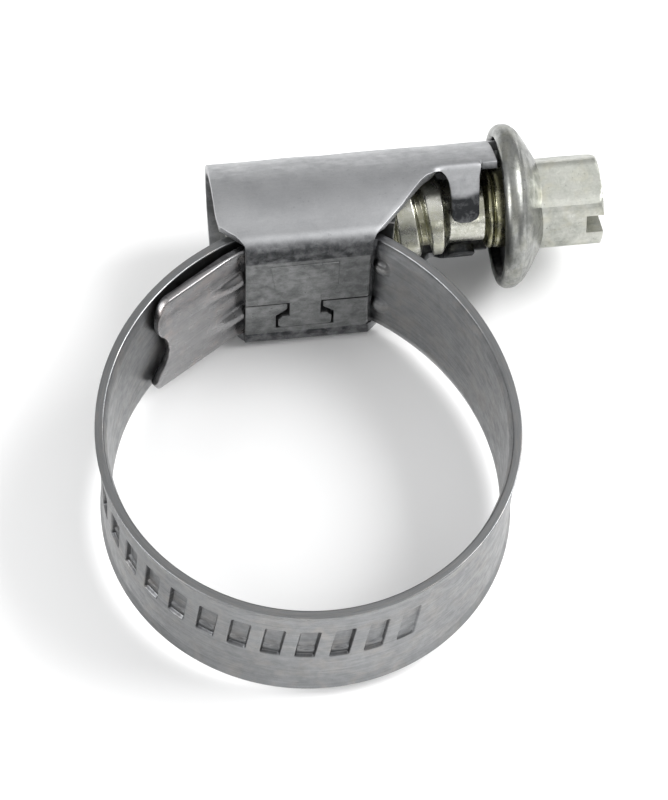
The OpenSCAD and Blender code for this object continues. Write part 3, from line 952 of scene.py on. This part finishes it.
# ---------------------------------------------------------------- studio
def build_camera():
    data = bpy.data.cameras.new("camera")
    data.lens, data.sensor_width = 139.49, 36.0
    data.clip_start, data.clip_end = 0.01, 5.0
    cam = bpy.data.objects.new("camera", data)
    bpy.context.scene.collection.objects.link(cam)
    azimuth, elevation, roll = (math.radians(v) for v in (-9.857, 59.619, 3.234))
    back = Vector((math.sin(azimuth) * math.cos(elevation),
                   -math.cos(azimuth) * math.cos(elevation), math.sin(elevation)))
    right = Vector((math.cos(azimuth), math.sin(azimuth), 0))
    up = back.cross(right)
    side = right * math.cos(roll) + up * math.sin(roll)
    top = -right * math.sin(roll) + up * math.cos(roll)
    cam.matrix_world = Matrix.Translation(Vector((-18.164, -114.888, 208.547)) * MM) @ Matrix(
        (side, top, back)).transposed().to_4x4()
    bpy.context.scene.camera = cam


def area_light(name, place_mm, aim_mm, size_mm, power, colour=(1, 1, 1)):
    data = bpy.data.lights.new(name, "AREA")
    data.shape, data.size, data.size_y = "RECTANGLE", size_mm[0] * MM, size_mm[1] * MM
    data.energy, data.color = power, colour
    obj = bpy.data.objects.new(name, data)
    obj.location = Vector(place_mm) * MM
    aim = (Vector(aim_mm) - Vector(place_mm)).to_track_quat("-Z", "Y")
    obj.rotation_mode = "QUATERNION"
    obj.rotation_quaternion = aim
    bpy.context.scene.collection.objects.link(obj)
    return obj


def build_floor():
    mesh = bpy.data.meshes.new("floor")
    half, z = 3.0, cad_low.z
    mesh.from_pydata([(-half, -half, z), (half, -half, z), (half, half, z), (-half, half, z)],
                     [], [(0, 1, 2, 3)])
    floor = bpy.data.objects.new("floor", mesh)
    bpy.context.scene.collection.objects.link(floor)
    mat = bpy.data.materials.new("floor")
    mat.use_nodes = True
    shader = mat.node_tree.nodes["Principled BSDF"]
    shader.inputs["Base Color"].default_value = (0.9, 0.9, 0.9, 1)
    shader.inputs["Roughness"].default_value = 0.9
    shader.inputs["Specular IOR Level"].default_value = 0.1
    floor.data.materials.append(mat)


def build_world():
    world = bpy.data.worlds.new("studio")
    bpy.context.scene.world = world
    world.use_nodes = True
    nodes, links = world.node_tree.nodes, world.node_tree.links
    nodes.clear()
    coord = nodes.new("ShaderNodeTexCoord")
    split = nodes.new("ShaderNodeSeparateXYZ")
    ramp = nodes.new("ShaderNodeValToRGB")
    back = nodes.new("ShaderNodeBackground")
    out = nodes.new("ShaderNodeOutputWorld")
    links.new(coord.outputs["Generated"], split.inputs[0])
    links.new(split.outputs["Z"], ramp.inputs["Fac"])
    links.new(ramp.outputs["Color"], back.inputs["Color"])
    links.new(back.outputs[0], out.inputs["Surface"])
    stops = ramp.color_ramp.elements
    stops[0].position, stops[0].color = 0.0, (0.34, 0.34, 0.345, 1)
    stops[1].position, stops[1].color = 0.9, (0.85, 0.85, 0.85, 1)
    middle = stops.new(0.35)
    middle.color = (0.52, 0.525, 0.53, 1)
    back.inputs["Strength"].default_value = 0.9


build_camera()
build_floor()
build_world()
area_light("key", (330, 20, 330), (0, 5, 0), (280, 280), 2.4)
area_light("fill", (-320, -60, 260), (5, 5, 0), (200, 260), 0.9)
area_light("front", (-60, -420, 160), (0, 0, 0), (400, 120), 0.3)
bpy.context.scene.view_settings.view_transform = "Standard"
